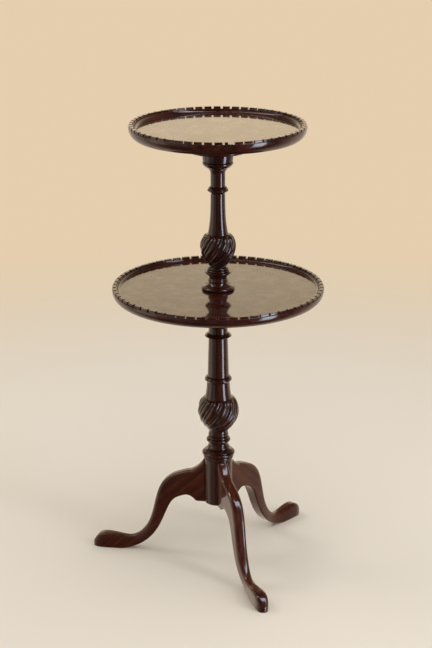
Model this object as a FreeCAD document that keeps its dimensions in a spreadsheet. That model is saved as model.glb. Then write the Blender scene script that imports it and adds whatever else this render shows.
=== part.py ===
# Two-tier dumbwaiter table in turned mahogany, millimetres, +Z up.
# The origin lies on the column's axis at floor level and the first leg points along -Y.
import FreeCAD, Part
import math
import os
import Sketcher
from FreeCAD import Placement, Rotation, Vector

doc = FreeCAD.newDocument("tiered_side_table")

# ---------------------------------------------------------------------------
# Driving dimensions
# ---------------------------------------------------------------------------

GENERAL = [
    ("drum_clearance", 124.5, "floor to the underside of the column's drum"),
    ("joint_gap", 0.1, "glue line left round a joint that is fixed"),
    ("running_gap", 0.3, "clearance between a tray's parts and what they turn on"),
]

# Lower column, from the drum upwards.
LOWER_COLUMN = [
    ("drum_height", 97.5, "drum that the legs are let into"),
    ("drum_radius", 28.8, "drum"),
    ("drum_bead_height", 9.0, "bead above the drum"),
    ("drum_bead_radius", 28.2, "root of that bead"),
    ("drum_bead_swell", 2.8, "how far the bead stands out"),
    ("collar_height", 6.1, "widest ring, above the bead"),
    ("collar_radius", 32.0, "root of the collar"),
    ("collar_swell", 1.6, "how far the collar stands out"),
    ("collar_lip_height", 2.6, "thin ring on the collar"),
    ("collar_lip_radius", 29.4, "root of the thin ring"),
    ("collar_lip_swell", 0.9, "how far the thin ring stands out"),
    ("collar_slope_height", 2.6, "slope from the thin ring in to the half round"),
    ("collar_slope_radius", 22.4, "head of that slope"),
    ("collar_slope_sink", 0.4, "hollow of that slope"),
    ("base_ring_height", 8.0, "half round above the slope"),
    ("base_ring_radius", 20.2, "root of that half round"),
    ("base_ring_swell", 2.6, "how far the half round stands out"),
    ("lower_cove_height", 9.4, "cove under the fillet disc"),
    ("lower_cove_radius", 21.4, "edge of the cove"),
    ("lower_cove_sink", 1.9, "how far the cove is hollowed"),
    ("fillet_disc_height", 6.0, "disc above the cove"),
    ("fillet_disc_radius", 22.9, "root of the disc"),
    ("fillet_disc_swell", 1.8, "how far the disc stands out"),
    ("neck_step_height", 5.0, "step on the fillet disc"),
    ("neck_step_radius", 20.6, "root of the step"),
    ("neck_step_swell", 0.9, "rounding of the step"),
    ("neck_bead_height", 8.3, "bead above the step"),
    ("neck_bead_radius", 18.6, "root of that bead"),
    ("neck_bead_swell", 2.0, "how far the bead stands out"),
    ("knop_neck_height", 5.0, "neck under the twisted knop"),
    ("knop_neck_radius", 19.6, "neck under the twisted knop"),
    ("lower_knop_height", 71.0, "twisted knop"),
    ("lower_knop_foot_radius", 20.7, "foot of the twisted knop"),
    ("lower_knop_belly_radius", 42.2, "widest part of the twisted knop"),
    ("lower_knop_belly_height", 43.0, "foot of the knop to its widest part"),
    ("lower_knop_top_radius", 28.0, "flat top of the twisted knop"),
    ("lower_flare_height", 35.0, "shaft that flares down to the knop"),
    ("lower_flare_foot_radius", 27.4, "lip of the flare on the knop"),
    ("lower_flare_head_radius", 23.4, "head of the flare"),
    ("lower_flare_sink", 1.0, "hollow of the flare"),
    ("band_under_height", 4.5, "undercut of the lower shaft ring"),
    ("band_over_height", 7.5, "rounded top of the lower shaft ring"),
    ("band_radius", 27.6, "lower shaft ring"),
    ("band_head_radius", 22.4, "where the lower shaft ring meets the shaft"),
    ("band_swell", 1.3, "rounding of the lower shaft ring"),
    ("lower_shaft_height", 82.5, "plain shaft between the rings"),
    ("lower_shaft_foot_radius", 21.7, "foot of the plain shaft"),
    ("lower_shaft_head_radius", 19.4, "head of the plain shaft"),
    ("ring_under_height", 3.5, "undercut of the upper shaft ring"),
    ("ring_over_height", 6.0, "rounded top of the upper shaft ring"),
    ("ring_radius", 27.0, "upper shaft ring"),
    ("ring_swell", 0.9, "rounding of the upper shaft ring"),
    ("lower_neck_height", 12.0, "neck under the capital"),
    ("lower_neck_radius", 19.2, "neck under the capital"),
    ("lower_ogee_height", 15.0, "flare of the capital"),
    ("lower_ogee_radius", 33.0, "head of that flare"),
    ("lower_ogee_sink", 1.5, "hollow of that flare"),
    ("lower_capital_bead_height", 7.0, "bead of the capital"),
    ("lower_capital_bead_swell", 1.6, "how far the bead stands out"),
    ("lower_capital_disc_height", 15.5, "disc that the lower tray turns on"),
    ("lower_capital_disc_radius", 35.0, "disc that the lower tray turns on"),
    ("lower_capital_disc_swell", 1.2, "rounding of that disc"),
]

# Upper column, from the floor of the lower tray upwards.
UPPER_COLUMN = [
    ("journal_radius", 13.0, "journal that the lower tray turns on"),
    ("tenon_radius", 9.5, "tenon that enters the lower column"),
    ("tenon_length", 45.0, "tenon that enters the lower column"),
    ("tenon_end_gap", 2.0, "space left at the end of the tenon"),
    ("foot_ring_height", 7.6, "ring that stands over the lower tray"),
    ("foot_ring_radius", 30.4, "root of that ring"),
    ("foot_ring_swell", 2.4, "how far the ring stands out"),
    ("foot_flare_height", 8.7, "flare from the foot ring in to the small bead"),
    ("foot_flare_radius", 29.6, "foot of the flare"),
    ("foot_flare_head_radius", 18.2, "head of the flare"),
    ("foot_flare_sink", 1.8, "hollow of the flare"),
    ("foot_bead_height", 4.8, "small bead on the flare"),
    ("foot_bead_radius", 18.2, "root of the small bead"),
    ("foot_bead_swell", 1.8, "how far the small bead stands out"),
    ("upper_cove_height", 8.0, "cove above the small bead"),
    ("upper_cove_radius", 19.0, "edge of the cove"),
    ("upper_cove_sink", 1.4, "how far the cove is hollowed"),
    ("saucer_under_height", 5.4, "sloping underside of the saucer"),
    ("saucer_edge_height", 3.4, "edge of the saucer"),
    ("saucer_radius", 25.2, "edge of the saucer"),
    ("saucer_swell", 0.6, "rounding of the saucer's edge"),
    ("saucer_step_height", 3.8, "step on the saucer"),
    ("saucer_step_radius", 21.6, "root of the step"),
    ("saucer_step_swell", 0.9, "rounding of the step"),
    ("saucer_bead_height", 5.2, "bead on the step"),
    ("saucer_bead_radius", 18.8, "root of the bead on the step"),
    ("saucer_bead_swell", 1.8, "how far that bead stands out"),
    ("upper_knop_neck_height", 1.4, "neck under the twisted knop"),
    ("upper_knop_neck_radius", 16.2, "neck under the twisted knop"),
    ("upper_knop_height", 66.0, "twisted knop"),
    ("upper_knop_foot_radius", 17.0, "foot of the twisted knop"),
    ("upper_knop_belly_radius", 35.9, "widest part of the twisted knop"),
    ("upper_knop_belly_height", 40.5, "foot of the knop to its widest part"),
    ("upper_knop_top_radius", 21.0, "flat top of the twisted knop"),
    ("upper_flare_height", 46.0, "shaft that flares down to the knop"),
    ("upper_flare_foot_radius", 20.3, "lip of the flare on the knop"),
    ("upper_flare_head_radius", 15.1, "head of the flare"),
    ("upper_flare_sink", 1.0, "hollow of the flare"),
    ("upper_shaft_height", 36.4, "plain shaft under the ring"),
    ("upper_shaft_head_radius", 14.3, "head of the plain shaft"),
    ("knot_under_height", 5.5, "undercut of the shaft ring"),
    ("knot_over_height", 8.5, "rounded top of the shaft ring"),
    ("knot_radius", 20.8, "shaft ring"),
    ("knot_swell", 0.8, "rounding of the shaft ring"),
    ("upper_neck_height", 24.0, "neck under the capital"),
    ("upper_neck_radius", 14.5, "neck under the capital"),
    ("upper_cavetto_height", 10.0, "hollow that starts the capital"),
    ("upper_cavetto_radius", 17.0, "head of that hollow"),
    ("upper_cavetto_sink", 0.6, "depth of that hollow"),
    ("upper_fillet_height", 2.0, "fillet above the hollow"),
    ("upper_fillet_radius", 18.3, "fillet above the hollow"),
    ("upper_ovolo_height", 7.5, "rounded underside of the capital"),
    ("upper_ovolo_radius", 29.1, "head of that underside"),
    ("upper_ovolo_swell", 1.2, "rounding of that underside"),
    ("upper_capital_bead_height", 6.0, "bead of the capital"),
    ("upper_capital_bead_swell", 1.3, "how far the bead stands out"),
    ("upper_groove_height", 1.0, "groove above the bead"),
    ("upper_groove_radius", 27.9, "groove above the bead"),
    ("upper_capital_disc_height", 19.0, "disc that the upper tray turns on"),
    ("upper_capital_disc_radius", 29.5, "disc that the upper tray turns on"),
    ("upper_capital_disc_swell", 0.9, "rounding of that disc"),
    ("pivot_radius", 11.0, "pivot on top, in the upper tray's block"),
    ("pivot_length", 24.0, "pivot on top, in the upper tray's block"),
]

KNOPS = [
    ("lower_knop_lobes", 12, "lobes round the lower knop"),
    ("upper_knop_lobes", 10, "lobes round the upper knop"),
    ("lobe_depth", 3.4, "depth of the grooves beside each lobe"),
    ("lobe_foot_lean", 60.0, "degrees that the lobes lean off upright at the knop's foot"),
    ("lobe_head_lean", 18.0, "degrees that the lobes lean off upright at the knop's head"),
    ("lobe_end_run", 9.0, "length over which the lobes die away at the knop's ends"),
    ("lobe_share", 0.68, "part of each repeat that the lobe takes, and its reed the rest"),
    ("reed_height", 0.65, "height of the reed as a part of the lobe's"),
]

TRAYS = [
    ("upper_tray_radius", 173.0, "upper tray"),
    ("lower_tray_radius", 211.0, "lower tray"),
    ("tray_thickness", 14.0, "floor of a tray"),
    ("upper_rim_height", 11.0, "floor of the upper tray to the top of its rim"),
    ("lower_rim_height", 8.7, "floor of the lower tray to the top of its rim"),
    ("ledge_width", 2.0, "ledge outside the notched blocks"),
    ("ledge_round", 0.7, "rounding of the ledge's edge"),
    ("rim_width", 6.4, "notched top of the rim"),
    ("seat_depth", 1.0, "seat sunk in the lower tray's floor for the column's foot ring"),
    ("rim_step_width", 1.6, "step inside the notched top"),
    ("rim_step_drop", 2.6, "top of the rim down to the step"),
    ("rim_cove_width", 5.6, "cove from the step to the floor"),
    ("rim_cove_sink", 1.5, "hollow of that cove"),
    ("rim_round", 0.6, "rounding of the rim's two top edges"),
    ("upper_edge_slope", 10.0, "how far the upper tray's edge turns under"),
    ("upper_edge_swell", 3.2, "rounding of the upper tray's edge"),
    ("lower_edge_slope", 9.0, "how far the lower tray's edge turns under"),
    ("lower_edge_swell", 3.3, "rounding of the lower tray's edge"),
    ("notch_width", 4.4, "notch in a rim"),
    ("notch_depth", 4.3, "notch in a rim"),
    ("upper_notches", 56, "notches round the upper rim"),
    ("lower_notches", 64, "notches round the lower rim"),
    ("chip_width", 14.5, "chip in the upper rim"),
    ("chip_slope", 3.6, "sloping end of that chip"),
    ("chip_depth", 3.9, "chip in the upper rim"),
    ("chip_angle", 255.9, "direction of the chip from the upper tray's first notch"),
    ("upper_tray_turn", 3.4, "direction of the upper tray's first notch"),
    ("lower_tray_turn", 2.6, "direction of the lower tray's first notch"),
]

BLOCKS = [
    ("upper_block_height", 28.0, "turned block under the upper tray"),
    ("upper_block_radius", 60.0, "bead round the upper block's foot"),
    ("lower_block_height", 27.0, "turned block under the lower tray"),
    ("lower_block_radius", 66.0, "bead round the lower block's foot"),
    ("block_bead_height", 7.5, "bead round a block's foot"),
    ("block_bead_swell", 2.2, "how far the bead stands out"),
    ("block_step", 2.4, "quirk above the bead"),
    ("block_head_spread", 4.0, "how far a block's head stands past its bead"),
    ("block_cove_sink", 3.4, "hollow between the bead and the head"),
    ("bore_end_gap", 2.0, "space above the pivot in the upper block"),
    ("washer_thickness", 1.2, "leather washer under a block"),
    ("washer_border", 3.0, "capital left bare round a washer"),
]

FIXINGS = [
    ("block_screw_circle", 46.0, "screws of a block, from the axis"),
    ("block_screw_bite", 6.5, "screw end inside the tray"),
    ("block_screws", 4, "screws in each block"),
    ("screw_radius", 2.1, "shank of a wood screw"),
    ("screw_head_radius", 4.2, "countersunk head of a wood screw"),
    ("screw_head_height", 2.6, "countersunk head of a wood screw"),
    ("screw_point_length", 3.0, "point of a wood screw"),
    ("screw_slot_width", 1.0, "driver's slot"),
    ("screw_slot_depth", 1.1, "driver's slot"),
    ("plate_thickness", 3.0, "iron plate let in under the drum"),
    ("plate_hub_radius", 19.0, "middle of the iron plate"),
    ("plate_arm_width", 13.0, "arm of the iron plate"),
    ("plate_arm_reach", 43.5, "axis to the end of an arm"),
    ("plate_arm_round", 4.0, "how far an arm's end is rounded"),
    ("plate_screw_reach", 36.5, "axis to the screw in each arm"),
    ("plate_screw_length", 22.0, "screws of the iron plate"),
]

LEGS = [
    ("leg_thickness", 24.0, "leg at the knee"),
    ("leg_top_gap", 1.0, "head of the leg below the drum's bead"),
    ("shelf_run", 28.4, "drum's face to the shelf's edge"),
    ("shelf_rise", 66.5, "drum's underside to the shelf's edge"),
    ("shelf_sink", 3.4, "hollow between the drum and the shelf's edge"),
    ("knee_start_reach", 77.5, "axis to the start of the knee"),
    ("knee_start_rise", 63.0, "drum's underside to the start of the knee"),
    ("knee_reach", 116.5, "axis to the knee"),
    ("knee_rise", 47.5, "drum's underside to the knee"),
    ("shin_reach", 132.5, "axis to the head of the shin"),
    ("shin_rise", 4.5, "drum's underside to the head of the shin"),
    ("shin_foot_reach", 143.5, "axis to the foot of the shin"),
    ("shin_foot_height", 67.0, "floor to the foot of the shin"),
    ("ankle_reach", 173.0, "axis to the ankle"),
    ("ankle_height", 31.0, "floor to the ankle"),
    ("instep_reach", 199.0, "axis to the instep"),
    ("instep_height", 27.0, "floor to the instep"),
    ("toe_crown_reach", 247.0, "axis to the crown of the toe"),
    ("toe_crown_height", 36.0, "floor to the crown of the toe"),
    ("toe_front_reach", 264.0, "axis to the front of the toe's back"),
    ("toe_front_height", 26.0, "floor to the front of the toe's back"),
    ("toe_reach", 270.0, "axis to the tip of the toe"),
    ("sole_reach", 205.0, "axis to the start of the sole"),
    ("heel_reach", 179.0, "axis to the heel"),
    ("heel_height", 4.0, "floor to the heel"),
    ("calf_foot_reach", 141.5, "axis to the foot of the calf"),
    ("calf_foot_height", 29.0, "floor to the foot of the calf"),
    ("calf_reach", 116.5, "axis to the calf"),
    ("calf_height", 75.0, "floor to the calf"),
    ("hollow_reach", 100.0, "axis to the hollow behind the knee"),
    ("hollow_rise", 0.5, "drum's underside to that hollow"),
    ("apron_reach", 74.0, "axis to the apron's arch"),
    ("apron_rise", 10.5, "drum's underside to the apron's arch"),
    ("cusp_reach", 59.0, "axis to the cusp under the leg"),
    ("cusp_rise", 14.5, "drum's underside to that cusp"),
    ("under_run", 17.2, "flat under the leg beside the drum"),
    ("ankle_half_width", 8.0, "half of the leg where it narrows at the ankle"),
    ("ankle_end_half_width", 9.0, "half of the leg as the foot begins"),
    ("foot_half_width", 12.5, "half of the foot at its widest"),
    ("foot_start_reach", 228.0, "axis to the widest part of the foot"),
    ("taper_reach", 112.0, "axis to where the leg starts to narrow"),
    ("taper_run", 30.0, "how gently the narrowing starts"),
    ("ankle_start_reach", 166.0, "axis to the narrow part of the leg"),
    ("ankle_end_reach", 196.0, "axis to the end of the narrow part"),
    ("leg_top_round", 7.0, "rounding of the leg's upper edges"),
    ("leg_under_round", 1.0, "rounding of the leg's lower edges"),
    ("toe_corner_run", 22.0, "length over which the toe's corners are rounded"),
    ("toe_waste", 4.0, "spare wood in front of the toe before the plan is sawn"),
    ("toe_waste_height", 0.5, "end of that spare wood"),
    ("tongue_depth", 13.0, "dovetail tongue into the drum"),
    ("tongue_root_width", 10.0, "dovetail tongue at the drum's face"),
    ("tongue_tip_width", 15.0, "dovetail tongue inside the drum"),
    ("tongue_headroom", 9.0, "drum left whole above the tongue"),
]

sizes = doc.addObject("Spreadsheet::Sheet", "sizes")


def fill_sheet(groups):
    """Write every driving dimension to the sheet with its alias and its meaning."""
    row = 0
    for group in groups:
        for alias, value, meaning in group:
            row += 1
            sizes.set(f"A{row}", meaning)
            sizes.set(f"B{row}", str(value))
            sizes.setAlias(f"B{row}", alias)


fill_sheet([GENERAL, LOWER_COLUMN, UPPER_COLUMN, KNOPS, TRAYS, BLOCKS, FIXINGS, LEGS])
doc.recompute()


# ---------------------------------------------------------------------------
# Sizes that carry their own expression
# ---------------------------------------------------------------------------

class Size:
    """A number together with the sheet expression that gives it."""

    def __init__(self, value, text):
        self.value = float(value)
        self.text = text

    def __add__(self, other):
        other = as_size(other)
        return Size(self.value + other.value, f"({self.text} + {other.text})")

    def __sub__(self, other):
        other = as_size(other)
        return Size(self.value - other.value, f"({self.text} - {other.text})")

    def __mul__(self, other):
        other = as_size(other)
        return Size(self.value * other.value, f"({self.text} * {other.text})")

    def __truediv__(self, other):
        other = as_size(other)
        return Size(self.value / other.value, f"({self.text} / {other.text})")

    def __neg__(self):
        return Size(-self.value, f"(-1 * {self.text})")


class Sheet:
    """The spreadsheet's aliases as attributes."""

    def __getattr__(self, alias):
        return Size(sizes.get(alias), f"sizes.{alias}")


def as_size(value):
    """A plain number becomes a Size of its own."""
    if isinstance(value, Size):
        return value
    return Size(value, repr(float(value)))


def total(parts):
    """Sum of several sizes."""
    result = as_size(parts[0])
    for part in parts[1:]:
        result = result + part
    return result


def bind(obj, name, size):
    """Tie a property of an object to the sheet."""
    obj.setExpression(name, as_size(size).text)


dim = Sheet()


# ---------------------------------------------------------------------------
# Sketches and features
# ---------------------------------------------------------------------------

def new_body(name):
    return doc.addObject("PartDesign::Body", name)


def new_sketch(body, name, role, offset=None):
    """Attach a sketch to one of its body's origin planes, offset along the plane's normal."""
    sketch = body.newObject("Sketcher::SketchObject", name)
    plane = [item for item in body.Origin.OriginFeatures if item.Role == role][0]
    sketch.AttachmentSupport = [(plane, "")]
    sketch.MapMode = "FlatFace"
    if offset is not None:
        sketch.AttachmentOffset = Placement(Vector(0, 0, offset.value), Rotation())
        bind(sketch, "AttachmentOffset.Base.z", offset)
    return sketch


def fix_point(sketch, geo, end, x, y):
    """Hold one point of a sketch at bound coordinates."""
    for kind, size, axis in (("DistanceX", as_size(x), -2), ("DistanceY", as_size(y), -1)):
        if size.value == 0:
            sketch.addConstraint(Sketcher.Constraint("PointOnObject", geo, end, axis))
            continue
        index = sketch.addConstraint(Sketcher.Constraint(kind, -1, 1, geo, end, size.value))
        sketch.setExpression(f"Constraints[{index}]", size.text)


def arc_between(start, end, swell):
    """Arc from start to end that bulges to the right of travel by swell, and to the left below 0."""
    chord = end - start
    right = Vector(chord.y, -chord.x, 0).normalize()
    radius = chord.Length ** 2 / (8 * abs(swell)) + abs(swell) / 2
    side = math.copysign(1, swell)
    centre = (start + end) / 2 + right * (swell - side * radius)
    first, last = (start, end) if swell > 0 else (end, start)
    angles = [math.atan2(point.y - centre.y, point.x - centre.x) for point in (first, last)]
    circle = Part.Circle(centre, Vector(0, 0, 1), radius)
    return Part.ArcOfCircle(circle, angles[0], angles[1])


def draw_line(sketch, start, end):
    points = [Vector(as_size(x).value, as_size(y).value, 0) for x, y in (start, end)]
    geo = sketch.addGeometry(Part.LineSegment(points[0], points[1]), False)
    return geo, 1, 2


def draw_arc(sketch, start, end, swell):
    """Arc whose radius follows its ends and its swell."""
    points = [Vector(as_size(x).value, as_size(y).value, 0) for x, y in (start, end)]
    arc = arc_between(points[0], points[1], swell.value)
    geo = sketch.addGeometry(arc, False)
    run = as_size(end[0]) - start[0]
    rise = as_size(end[1]) - start[1]
    depth = swell if swell.value > 0 else -swell
    radius = (run * run + rise * rise) / (depth * 8) + depth / 2
    index = sketch.addConstraint(Sketcher.Constraint("Radius", geo, radius.value))
    sketch.setExpression(f"Constraints[{index}]", radius.text)
    return (geo, 1, 2) if swell.value > 0 else (geo, 2, 1)


def draw_spline(sketch, start, poles, end):
    """Cubic spline from start to end, steered by the poles between them."""
    route = [start] + poles + [end]
    points = [Vector(as_size(x).value, as_size(y).value, 0) for x, y in route]
    curve = Part.BSplineCurve()
    curve.buildFromPoles(points, False, 3)
    geo = sketch.addGeometry(curve, False)
    sketch.exposeInternalGeometry(geo)
    for number, (x, y) in enumerate(poles, start=2):
        fix_point(sketch, geo + number, 3, x, y)
    return geo, 1, 2


def draw_outline(sketch, start, steps):
    """Closed outline. Each step is (x, y), (x, y, swell) or (x, y, list of poles)."""
    edges = []
    here = start
    for step in steps:
        there = step[:2]
        if len(step) == 2:
            edge = draw_line(sketch, here, there)
        elif isinstance(step[2], list):
            edge = draw_spline(sketch, here, step[2], there)
        else:
            edge = draw_arc(sketch, here, there, step[2])
        edges.append((edge, there))
        here = there
    for position, (edge, corner) in enumerate(edges):
        following = edges[(position + 1) % len(edges)][0]
        sketch.addConstraint(
            Sketcher.Constraint("Coincident", edge[0], edge[2], following[0], following[1]))
        fix_point(sketch, edge[0], edge[2], corner[0], corner[1])


def draw_circle(sketch, x, y, radius):
    centre = Vector(as_size(x).value, as_size(y).value, 0)
    geo = sketch.addGeometry(Part.Circle(centre, Vector(0, 0, 1), radius.value), False)
    index = sketch.addConstraint(Sketcher.Constraint("Radius", geo, radius.value))
    sketch.setExpression(f"Constraints[{index}]", radius.text)
    fix_point(sketch, geo, 3, x, y)


def draw_box(sketch, left, bottom, right, top):
    draw_outline(sketch, (left, bottom),
                 [(right, bottom), (right, top), (left, top), (left, bottom)])


def revolve(body, sketch, name):
    turning = body.newObject("PartDesign::Revolution", name)
    turning.Profile = (sketch, [""])
    turning.ReferenceAxis = (sketch, ["V_Axis"])
    turning.Angle = 360
    return turning


def pad(body, sketch, name, length, symmetric=False):
    feature = body.newObject("PartDesign::Pad", name)
    feature.Profile = (sketch, [""])
    feature.SideType = "Symmetric" if symmetric else "One side"
    bind(feature, "Length", length)
    return feature


def pocket(body, sketch, name, depth=None, upward=False):
    """Cut to a depth, or through everything on both sides of the sketch where none is given."""
    feature = body.newObject("PartDesign::Pocket", name)
    feature.Profile = (sketch, [""])
    if depth is None:
        feature.Type = "ThroughAll"
        feature.SideType = "Symmetric"
    else:
        feature.Reversed = upward
        bind(feature, "Length", depth)
    return feature


def polar(body, feature, name, count):
    """Repeat a feature round the body's Z axis."""
    pattern = body.newObject("PartDesign::PolarPattern", name)
    axis = [item for item in body.Origin.OriginFeatures if item.Role == "Z_Axis"][0]
    pattern.Originals = [feature]
    pattern.Axis = (axis, [""])
    pattern.Angle = 360
    bind(pattern, "Occurrences", count)
    body.Tip = pattern
    return pattern


def place(obj, height=0, angle=0, name=None):
    """Stand a sub-part at its height and turn it about the column's axis."""
    obj.Placement = Placement(Vector(0, 0, as_size(height).value),
                              Rotation(Vector(0, 0, 1), as_size(angle).value))
    bind(obj, "Placement.Base.z", height)
    bind(obj, "Placement.Rotation.Angle", angle)
    if name is not None:
        obj.Label = name
    return obj


# ---------------------------------------------------------------------------
# Turned work
# ---------------------------------------------------------------------------

def stack_profile(members, first_height):
    """Steps of a turned profile. A member is (height, foot radius, head radius, swell or None)."""
    steps = []
    level = as_size(first_height)
    for height, foot, head, swell in members:
        if not steps or steps[-1][0].value != foot.value:
            steps.append((foot, level))
        level = level + height
        steps.append((head, level) if swell is None else (head, level, swell))
    return steps, level


def heights(members):
    return total([member[0] for member in members])


LOWER_KNOP = (dim.lower_knop_height, dim.knop_neck_radius, dim.knop_neck_radius, None)
UPPER_KNOP = (dim.upper_knop_height, dim.upper_knop_neck_radius, dim.upper_knop_neck_radius,
              None)

LOWER_MEMBERS = [
    (dim.drum_height, dim.drum_radius, dim.drum_radius, None),
    (dim.drum_bead_height, dim.drum_bead_radius, dim.drum_bead_radius, dim.drum_bead_swell),
    (dim.collar_height, dim.collar_radius, dim.collar_radius, dim.collar_swell),
    (dim.collar_lip_height, dim.collar_lip_radius, dim.collar_lip_radius, dim.collar_lip_swell),
    (dim.collar_slope_height, dim.collar_lip_radius, dim.collar_slope_radius,
     -dim.collar_slope_sink),
    (dim.base_ring_height, dim.base_ring_radius, dim.base_ring_radius, dim.base_ring_swell),
    (dim.lower_cove_height, dim.lower_cove_radius, dim.lower_cove_radius, -dim.lower_cove_sink),
    (dim.fillet_disc_height, dim.fillet_disc_radius, dim.fillet_disc_radius,
     dim.fillet_disc_swell),
    (dim.neck_step_height, dim.neck_step_radius, dim.neck_step_radius, dim.neck_step_swell),
    (dim.neck_bead_height, dim.neck_bead_radius, dim.neck_bead_radius, dim.neck_bead_swell),
    (dim.knop_neck_height, dim.knop_neck_radius, dim.knop_neck_radius, None),
    LOWER_KNOP,
    (dim.lower_flare_height, dim.lower_flare_foot_radius, dim.lower_flare_head_radius,
     -dim.lower_flare_sink),
    (dim.band_under_height, dim.lower_flare_head_radius, dim.band_radius, None),
    (dim.band_over_height, dim.band_radius, dim.band_head_radius, dim.band_swell),
    (dim.lower_shaft_height, dim.lower_shaft_foot_radius, dim.lower_shaft_head_radius, None),
    (dim.ring_under_height, dim.lower_shaft_head_radius, dim.ring_radius, None),
    (dim.ring_over_height, dim.ring_radius, dim.lower_neck_radius + dim.ring_swell,
     dim.ring_swell),
    (dim.lower_neck_height, dim.lower_neck_radius, dim.lower_neck_radius, None),
    (dim.lower_ogee_height, dim.lower_neck_radius, dim.lower_ogee_radius, -dim.lower_ogee_sink),
    (dim.lower_capital_bead_height, dim.lower_ogee_radius, dim.lower_ogee_radius,
     dim.lower_capital_bead_swell),
    (dim.lower_capital_disc_height, dim.lower_capital_disc_radius,
     dim.lower_capital_disc_radius, dim.lower_capital_disc_swell),
]

UPPER_MEMBERS = [
    (dim.foot_ring_height, dim.foot_ring_radius, dim.foot_ring_radius, dim.foot_ring_swell),
    (dim.foot_flare_height, dim.foot_flare_radius, dim.foot_flare_head_radius,
     -dim.foot_flare_sink),
    (dim.foot_bead_height, dim.foot_bead_radius, dim.foot_bead_radius, dim.foot_bead_swell),
    (dim.upper_cove_height, dim.upper_cove_radius, dim.upper_cove_radius, -dim.upper_cove_sink),
    (dim.saucer_under_height, dim.upper_cove_radius, dim.saucer_radius, None),
    (dim.saucer_edge_height, dim.saucer_radius, dim.saucer_radius, dim.saucer_swell),
    (dim.saucer_step_height, dim.saucer_step_radius, dim.saucer_step_radius,
     dim.saucer_step_swell),
    (dim.saucer_bead_height, dim.saucer_bead_radius, dim.saucer_bead_radius,
     dim.saucer_bead_swell),
    (dim.upper_knop_neck_height, dim.upper_knop_neck_radius, dim.upper_knop_neck_radius, None),
    UPPER_KNOP,
    (dim.upper_flare_height, dim.upper_flare_foot_radius, dim.upper_flare_head_radius,
     -dim.upper_flare_sink),
    (dim.upper_shaft_height, dim.upper_flare_head_radius, dim.upper_shaft_head_radius, None),
    (dim.knot_under_height, dim.upper_shaft_head_radius, dim.knot_radius, None),
    (dim.knot_over_height, dim.knot_radius, dim.upper_neck_radius + dim.knot_swell,
     dim.knot_swell),
    (dim.upper_neck_height, dim.upper_neck_radius, dim.upper_neck_radius, None),
    (dim.upper_cavetto_height, dim.upper_neck_radius, dim.upper_cavetto_radius,
     -dim.upper_cavetto_sink),
    (dim.upper_fillet_height, dim.upper_fillet_radius, dim.upper_fillet_radius, None),
    (dim.upper_ovolo_height, dim.upper_fillet_radius, dim.upper_ovolo_radius,
     dim.upper_ovolo_swell),
    (dim.upper_capital_bead_height, dim.upper_ovolo_radius, dim.upper_ovolo_radius,
     dim.upper_capital_bead_swell),
    (dim.upper_groove_height, dim.upper_groove_radius, dim.upper_groove_radius, None),
    (dim.upper_capital_disc_height, dim.upper_capital_disc_radius,
     dim.upper_capital_disc_radius, dim.upper_capital_disc_swell),
]


def crest(phase, lobe_share, reed_height):
    """Height of the carving, 0 in the grooves and 1 on a lobe, over one lobe and its reed."""
    if phase < lobe_share:
        return math.sqrt(math.sin(math.pi * phase / lobe_share))
    return reed_height * math.sqrt(math.sin(math.pi * (phase - lobe_share) / (1 - lobe_share)))


def knop_outline(foot_radius, belly_radius, top_radius, height, belly_height):
    """Points (radius, height) up the knop: a parabola to the belly, then a quarter ellipse."""
    rising = 8
    closing = 8
    points = []
    for number in range(rising):
        share = number / rising
        drop = (belly_radius - foot_radius) * (1 - share) ** 2
        points.append((belly_radius - drop, belly_height * share))
    for number in range(closing + 1):
        turn = math.pi / 2 * number / closing
        points.append((top_radius + (belly_radius - top_radius) * math.cos(turn),
                       belly_height + (height - belly_height) * math.sin(turn)))
    return points


def carved_rings(outline, lobes):
    """Rings of poles up the knop, each turned further round, by a lean that lessens upwards."""
    poles_per_lobe = 12
    lobe = [crest(step / poles_per_lobe, dim.lobe_share.value, dim.reed_height.value)
            for step in range(poles_per_lobe)]
    count = int(lobes.value) * poles_per_lobe
    foot_lean = dim.lobe_foot_lean.value
    head_lean = dim.lobe_head_lean.value
    end_run = dim.lobe_end_run.value
    whole = sum(math.dist(below, above) for below, above in zip(outline, outline[1:]))
    travelled = 0
    turn = 0
    rings = []
    for number, (radius, level) in enumerate(outline):
        if number:
            climb = math.dist(outline[number - 1], outline[number])
            travelled += climb
            lean = foot_lean + (head_lean - foot_lean) * travelled / whole
            turn += 2 * math.tan(math.radians(lean)) * climb / (radius + outline[number - 1][0])
        run = min(travelled + end_run / 3, whole - travelled, end_run)
        depth = dim.lobe_depth.value * math.sin(math.pi / 2 * run / end_run)
        ring = []
        for step in range(count):
            sunk = depth * (1 - lobe[step % poles_per_lobe])
            angle = turn + 2 * math.pi * step / count
            ring.append(Vector((radius - sunk) * math.cos(angle),
                               (radius - sunk) * math.sin(angle), level))
        rings.append(ring)
    return rings


def writhen_knop(name, foot_radius, belly_radius, top_radius, height, belly_height, lobes):
    """Barrel whose lobes, each with a thin reed beside it, lean round it as they climb."""
    outline = knop_outline(foot_radius.value, belly_radius.value, top_radius.value,
                           height.value, belly_height.value)
    rings = carved_rings(outline, lobes)
    around = len(rings[0])
    spans = len(rings) - 3
    surface = Part.BSplineSurface()
    surface.buildFromPolesMultsKnots(
        [[ring[step] for ring in rings] for step in range(around)],
        [1] * (around + 1), [4] + [1] * (spans - 1) + [4],
        list(range(around + 1)), list(range(spans + 1)), True, False, 3, 3)
    side = surface.toShape()
    caps = [Part.Face(Part.Wire(edge)) for edge in side.Edges if edge.isClosed()]
    shell = Part.Shell([side] + caps)
    shell.sewShape()
    knop = doc.addObject("Part::Feature", name)
    knop.Shape = Part.Solid(shell)
    return knop


# ---------------------------------------------------------------------------
# Levels that several pieces share, from the floor
# ---------------------------------------------------------------------------

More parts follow.
